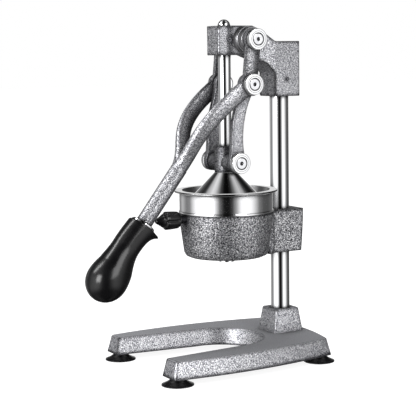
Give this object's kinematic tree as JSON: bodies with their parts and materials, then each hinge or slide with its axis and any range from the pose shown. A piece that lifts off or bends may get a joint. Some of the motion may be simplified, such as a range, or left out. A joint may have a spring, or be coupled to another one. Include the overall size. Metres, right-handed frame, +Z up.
{
  "type": "lever citrus juice press",
  "caption": "Free-standing hand press: a forked lever with curved toggle links drives a guided rod and cone down into a strainer and funnel cup over a U-shaped base.",
  "frame": {"origin": "the point on the table straight under the press rod and the spout, where the glass stands", "axes": "+Z up along the press rod, +X to the right of a user who stands at the handle and faces the column, -Y towards the handle and the user, +Y towards the column"},
  "size_m": [0.1808, 0.2815, 0.3919],
  "materials": {
    "hammered": "silver-grey hammertone paint on cast metal, satin with a fine dimpled speckle",
    "chrome": "bright chrome plate",
    "stainless": "polished stainless sheet with faint spinning lines",
    "screw_steel": "bright zinc-plated steel",
    "dark_steel": "oiled dark steel",
    "bush_bronze": "sintered bronze, satin",
    "black_gloss": "moulded black plastic, glossy",
    "black_rubber": "moulded rubber, semi-matte"
  },
  "bodies": {
    "frame": {"base": "hammered", "suction_feet": "black_rubber", "foot_studs": "screw_steel", "column": "chrome", "column_bolt": "screw_steel", "column_washer": "screw_steel", "head_bracket": "hammered", "bracket_set_screws": "dark_steel", "guide_bush": "bush_bronze", "upper_spacer_rings": "chrome", "upper_pivot_collars": "chrome", "upper_pivot_screws": "screw_steel", "cup_holder": "hammered", "holder_set_screw": "dark_steel", "funnel_cup": "stainless", "strainer_cup": "stainless", "strainer_floor": "stainless", "juice_reamer": "stainless"},
    "lever": {"lever_yoke": "hammered", "grip_ferrule": "chrome", "handle_grip": "black_gloss", "middle_pivot_collars": "chrome", "middle_pivot_screws": "screw_steel"},
    "ram": {"crosshead": "hammered", "guide_rod": "chrome", "press_cone": "stainless", "cone_screw": "screw_steel", "lower_pivot_collars": "chrome", "lower_pivot_screws": "screw_steel"},
    "left_toggle": {"left_link": "hammered", "left_link_nut": "chrome"},
    "right_toggle": {"right_link": "hammered", "right_link_nut": "chrome"},
    "knob": {"clamp_knob": "black_gloss", "knob_stud": "screw_steel"}
  },
  "joints": [
    {"name": "lever_pivot", "type": "hinge", "parent": "frame", "child": "lever", "pos_m": [0, 0.019, 0.369], "axis": [-1, 0, 0], "range_deg": [0, 100]},
    {"name": "press_slide", "type": "slide", "parent": "frame", "child": "ram", "axis": [0, 0, 1], "range_m": [0, 0.0675]},
    {"name": "left_link_pivot", "type": "hinge", "parent": "ram", "child": "left_toggle", "pos_m": [0, 0, 0.231], "axis": [1, 0, 0], "range_deg": [0, 28.3]},
    {"name": "right_link_pivot", "type": "hinge", "parent": "ram", "child": "right_toggle", "pos_m": [0, 0, 0.231], "axis": [1, 0, 0], "range_deg": [0, 28.3]},
    {"name": "knob_turn", "type": "hinge", "parent": "frame", "child": "knob", "pos_m": [0, -0.0623, 0.1686], "axis": [0, -1, 0], "range_deg": [0, 720]}
  ],
  "couplings": [
    {"joint": "press_slide", "follows": "lever_pivot", "m_per_rad": 0.03866},
    {"joint": "left_link_pivot", "follows": "lever_pivot", "ratio": 0.28286},
    {"joint": "right_link_pivot", "follows": "lever_pivot", "ratio": 0.28286}
  ]
}
